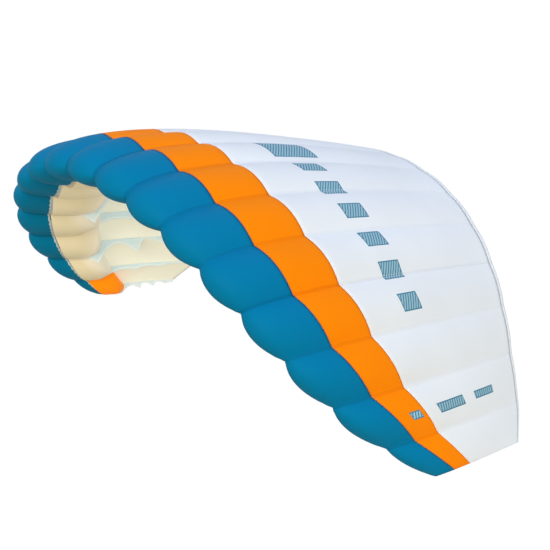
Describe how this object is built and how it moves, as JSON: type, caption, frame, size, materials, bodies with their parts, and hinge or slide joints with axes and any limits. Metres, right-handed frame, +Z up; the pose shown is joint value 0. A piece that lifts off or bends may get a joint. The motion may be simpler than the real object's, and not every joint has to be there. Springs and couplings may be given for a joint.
{
  "type": "kitesurf kite",
  "caption": "Arched single-skin traction kite canopy: swelled cloth cells on scalloped ribs, with belly panels, a hemmed trailing edge and wing sections that fold inward.",
  "frame": {"origin": "under the middle of the kite, level with the lowest point of its wing tips", "axes": "+X along the span to the right wing tip, +Y from the nose to the trailing edge, +Z up through the crown of the arch"},
  "size_m": [1.8204, 1.249, 0.8204],
  "materials": {
    "blue_cloth": "coated ripstop nylon, deep blue",
    "orange_cloth": "coated ripstop nylon, orange",
    "white_cloth": "coated ripstop nylon, cool white",
    "rib_cloth": "stiff coated rib cloth, pale grey blue",
    "belly_cloth": "coated ripstop nylon seen from the inside, warm sand",
    "hem_tape": "folded woven hem tape, white"
  },
  "bodies": {
    "centre_section": {"nose_skin_centre": "blue_cloth", "stripe_skin_centre": "orange_cloth", "rear_skin_centre": "white_cloth", "trailing_hem_centre": "hem_tape", "belly_panel_05": "belly_cloth", "belly_panel_06": "belly_cloth", "belly_panel_07": "belly_cloth", "belly_panel_08": "belly_cloth", "belly_panel_09": "belly_cloth", "belly_panel_10": "belly_cloth", "belly_panel_11": "belly_cloth", "belly_panel_12": "belly_cloth", "belly_panel_13": "belly_cloth", "rib_05": "rib_cloth", "rib_06": "rib_cloth", "rib_07": "rib_cloth", "rib_08": "rib_cloth", "rib_09": "rib_cloth", "rib_10": "rib_cloth", "rib_11": "rib_cloth", "rib_12": "rib_cloth", "rib_13": "rib_cloth", "rib_14": "rib_cloth"},
    "left_wing": {"nose_skin_left": "blue_cloth", "stripe_skin_left": "orange_cloth", "rear_skin_left": "white_cloth", "trailing_hem_left": "hem_tape", "belly_panel_01": "orange_cloth", "belly_panel_02": "belly_cloth", "belly_panel_03": "belly_cloth", "belly_panel_04": "belly_cloth", "rib_01": "rib_cloth", "rib_02": "rib_cloth", "rib_03": "rib_cloth", "rib_04": "rib_cloth"},
    "right_wing": {"nose_skin_right": "blue_cloth", "stripe_skin_right": "orange_cloth", "rear_skin_right": "white_cloth", "trailing_hem_right": "hem_tape", "belly_panel_14": "belly_cloth", "belly_panel_15": "belly_cloth", "belly_panel_16": "belly_cloth", "belly_panel_17": "orange_cloth", "rib_15": "rib_cloth", "rib_16": "rib_cloth", "rib_17": "rib_cloth", "rib_18": "rib_cloth"}
  },
  "joints": [
    {"name": "left_wing_fold", "type": "hinge", "parent": "centre_section", "child": "left_wing", "pos_m": [-0.5501, 0, 0.4401], "axis": [0, -1, 0], "range_deg": [0, 18], "stiffness_Nm_per_rad": 1.5},
    {"name": "right_wing_fold", "type": "hinge", "parent": "centre_section", "child": "right_wing", "pos_m": [0.5501, 0, 0.4401], "axis": [0, 1, 0], "range_deg": [0, 18], "stiffness_Nm_per_rad": 1.5}
  ]
}
